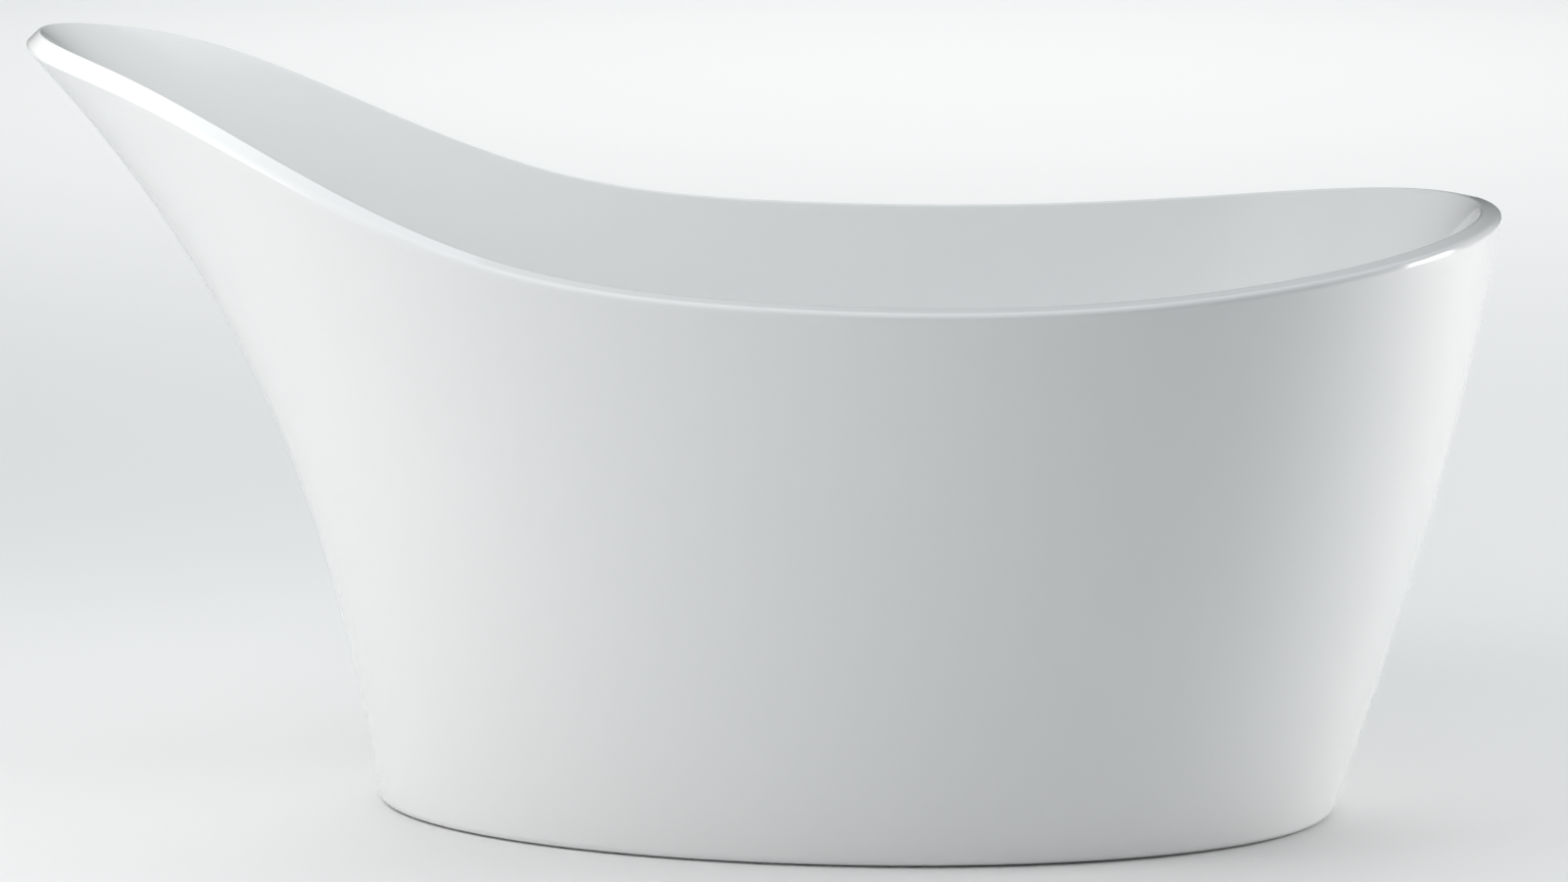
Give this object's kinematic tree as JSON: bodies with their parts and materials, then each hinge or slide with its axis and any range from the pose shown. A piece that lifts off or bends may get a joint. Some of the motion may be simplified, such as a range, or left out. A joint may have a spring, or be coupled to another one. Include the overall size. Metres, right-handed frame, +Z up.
{
  "type": "freestanding bathtub",
  "caption": "White gloss freestanding slipper bath: flared oval skirt, raised pointed backrest end, flat rolled rim, waste with press plug, trap and overflow.",
  "frame": {"origin": "floor level under the middle of the overall length and width", "axes": "+X towards the foot end, -X the raised backrest end, +Z up"},
  "size_m": [1.6379, 0.7999, 0.877],
  "materials": {
    "gloss_white": "high gloss, polished",
    "bond": "cured adhesive, dull",
    "plywood": "sealed plywood",
    "galvanised": "zinc coated, dull",
    "zinc_steel": "zinc plated",
    "pad_plastic": "moulded, fine grain",
    "polished_chrome": "mirror polished",
    "brass": "turned",
    "seal_rubber": "soft, matt",
    "trap_plastic": "moulded, satin",
    "hose_plastic": "flexible, satin"
  },
  "bodies": {
    "bath": {"inner_bowl": "gloss_white", "outer_skirt": "gloss_white", "rim_bond": "bond", "base_board": "plywood", "rail_tip": "galvanised", "rail_foot": "galvanised", "rail_screws": "zinc_steel", "weld_nuts": "zinc_steel", "lock_nuts": "zinc_steel", "flange_seal": "seal_rubber", "body_seal": "seal_rubber", "waste_flange": "polished_chrome", "waste_body": "trap_plastic", "plug_cartridge": "brass", "plug_spring": "zinc_steel", "trap_washer": "seal_rubber", "trap_union_nut": "trap_plastic", "trap_body": "trap_plastic", "trap_cup": "trap_plastic", "cup_seal": "seal_rubber", "outlet_seal": "seal_rubber", "outlet_nut": "trap_plastic", "overflow_seal": "seal_rubber", "overflow_body": "trap_plastic", "overflow_ring": "trap_plastic", "overflow_cover": "polished_chrome", "overflow_screw": "polished_chrome", "overflow_hose": "hose_plastic", "hose_clips": "zinc_steel"},
    "plug": {"plug_cap": "polished_chrome", "plug_seal": "seal_rubber", "plug_stem": "brass"},
    "foot_pad_1": {"foot_pad_1": "pad_plastic"},
    "foot_screw_1": {"foot_screw_1": "zinc_steel"},
    "foot_pad_2": {"foot_pad_2": "pad_plastic"},
    "foot_screw_2": {"foot_screw_2": "zinc_steel"},
    "foot_pad_3": {"foot_pad_3": "pad_plastic"},
    "foot_screw_3": {"foot_screw_3": "zinc_steel"},
    "foot_pad_4": {"foot_pad_4": "pad_plastic"},
    "foot_screw_4": {"foot_screw_4": "zinc_steel"}
  },
  "joints": [
    {"name": "plug_lift", "type": "slide", "parent": "bath", "child": "plug", "axis": [0, 0, 1], "range_m": [0, 0.009], "deforming": ["plug_spring"]},
    {"name": "foot_1_lift", "type": "slide", "parent": "bath", "child": "foot_pad_1", "axis": [0, 0, 1], "range_m": [-0.01, 0]},
    {"name": "foot_1_turn", "type": "hinge", "parent": "foot_pad_1", "child": "foot_screw_1", "pos_m": [-0.17, -0.16, 0.05], "axis": [0, 0, 1], "range_deg": [-2058, 0]},
    {"name": "foot_2_lift", "type": "slide", "parent": "bath", "child": "foot_pad_2", "axis": [0, 0, 1], "range_m": [-0.01, 0]},
    {"name": "foot_2_turn", "type": "hinge", "parent": "foot_pad_2", "child": "foot_screw_2", "pos_m": [-0.17, 0.16, 0.05], "axis": [0, 0, 1], "range_deg": [-2058, 0]},
    {"name": "foot_3_lift", "type": "slide", "parent": "bath", "child": "foot_pad_3", "axis": [0, 0, 1], "range_m": [-0.01, 0]},
    {"name": "foot_3_turn", "type": "hinge", "parent": "foot_pad_3", "child": "foot_screw_3", "pos_m": [0.27, -0.16, 0.05], "axis": [0, 0, 1], "range_deg": [-2058, 0]},
    {"name": "foot_4_lift", "type": "slide", "parent": "bath", "child": "foot_pad_4", "axis": [0, 0, 1], "range_m": [-0.01, 0]},
    {"name": "foot_4_turn", "type": "hinge", "parent": "foot_pad_4", "child": "foot_screw_4", "pos_m": [0.27, 0.16, 0.05], "axis": [0, 0, 1], "range_deg": [-2058, 0]}
  ],
  "couplings": [
    {"joint": "foot_1_turn", "follows": "foot_1_lift", "rad_per_m": 3590.4},
    {"joint": "foot_2_turn", "follows": "foot_2_lift", "rad_per_m": 3590.4},
    {"joint": "foot_3_turn", "follows": "foot_3_lift", "rad_per_m": 3590.4},
    {"joint": "foot_4_turn", "follows": "foot_4_lift", "rad_per_m": 3590.4}
  ]
}
